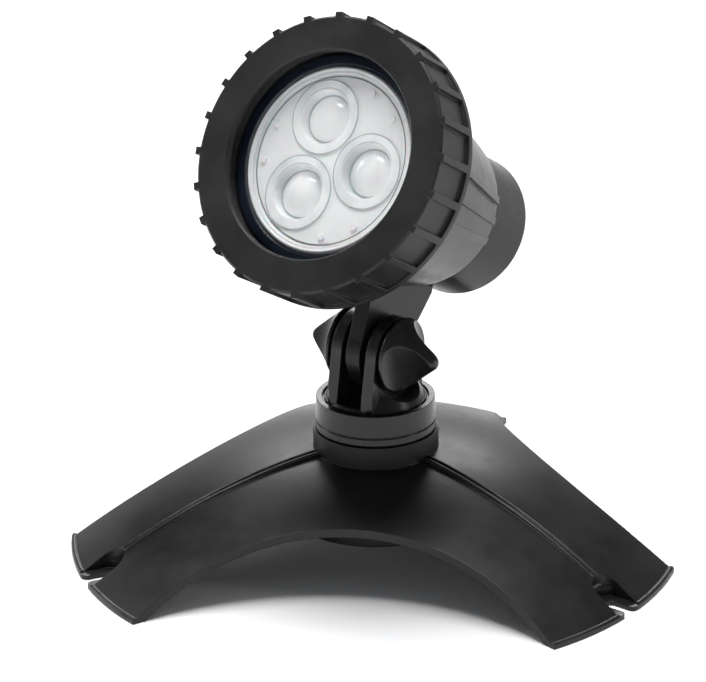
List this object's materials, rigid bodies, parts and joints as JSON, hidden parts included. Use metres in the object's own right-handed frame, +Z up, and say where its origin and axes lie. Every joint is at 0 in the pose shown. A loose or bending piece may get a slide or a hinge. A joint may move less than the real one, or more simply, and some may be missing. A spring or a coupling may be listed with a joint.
{
  "type": "underwater pond light",
  "caption": "Round lamp head with a ribbed screw ring on a swivel and tilt clevis, held by two grip knobs, above a domed three-legged base.",
  "frame": {"origin": "on the floor, on the swivel axis", "axes": "+Z up along the swivel axis; +Y towards the back leg; +X to the right seen from the front"},
  "size_m": [0.166, 0.1485, 0.1496],
  "materials": {
    "base_plastic": "satin black moulded plastic",
    "knob_plastic": "satin black moulded plastic",
    "head_plastic": "satin black moulded plastic",
    "ring_plastic": "fine matt black moulded plastic",
    "steel": "stainless steel",
    "brass": "turned brass",
    "seal_rubber": "black rubber",
    "clear_glass": "clear toughened glass",
    "collar_plastic": "dark blue-black plastic",
    "lamp_white": "white moulded plastic",
    "optic": "clear acrylic",
    "led": "phosphor yellow",
    "board": "white solder mask on aluminium",
    "lamp_metal": "cast aluminium",
    "lamp_cap": "off-white plastic",
    "ceramic": "unglazed ceramic"
  },
  "bodies": {
    "base": {"base_shell": "base_plastic", "hub_plate": "base_plastic", "hub_plate_screws": "steel"},
    "swivel": {"pedestal": "base_plastic", "swivel_screw": "steel", "swivel_washer": "steel", "swivel_nut": "steel", "tilt_bolt": "steel", "grip_knob": "knob_plastic", "knob_washers": "steel"},
    "wing": {"wing_knob": "knob_plastic", "wing_insert": "brass"},
    "head": {"housing": "head_plastic", "rear_cap": "head_plastic", "cap_seal": "seal_rubber", "gland_body": "head_plastic", "gland_seal": "seal_rubber", "tilt_discs": "seal_rubber", "glass": "clear_glass", "front_seal": "seal_rubber", "lamp_collar": "collar_plastic", "lamp_face": "lamp_white", "lamp_lenses": "optic", "led_chips": "led", "lamp_board": "board", "lamp_body": "lamp_metal", "lamp_base": "lamp_cap", "lamp_pins": "steel", "lamp_socket": "ceramic"},
    "ring": {"front_ring": "ring_plastic"},
    "cable_nut": {"gland_nut": "head_plastic"}
  },
  "joints": [
    {"name": "swivel_turn", "type": "hinge", "parent": "base", "child": "swivel", "pos_m": [0, 0, 0.032], "axis": [0, 0, 1], "continuous": true},
    {"name": "head_tilt", "type": "hinge", "parent": "swivel", "child": "head", "pos_m": [0, 0, 0.0546], "axis": [0.8889, -0.458, 0], "range_deg": [-38, 58]},
    {"name": "wing_knob_turn", "type": "hinge", "parent": "swivel", "child": "wing", "pos_m": [0.01102, -0.00568, 0.0546], "axis": [0.8889, -0.458, 0], "range_deg": [0, 720]},
    {"name": "front_ring_unscrew", "type": "hinge", "parent": "head", "child": "ring", "pos_m": [-0.00855, -0.01659, 0.11322], "axis": [-0.396, -0.7685, 0.5026], "range_deg": [0, 540]},
    {"name": "gland_nut_unscrew", "type": "hinge", "parent": "head", "child": "cable_nut", "pos_m": [0.0225, 0.04366, 0.07382], "axis": [0.396, 0.7685, -0.5026], "range_deg": [0, 1080]}
  ]
}
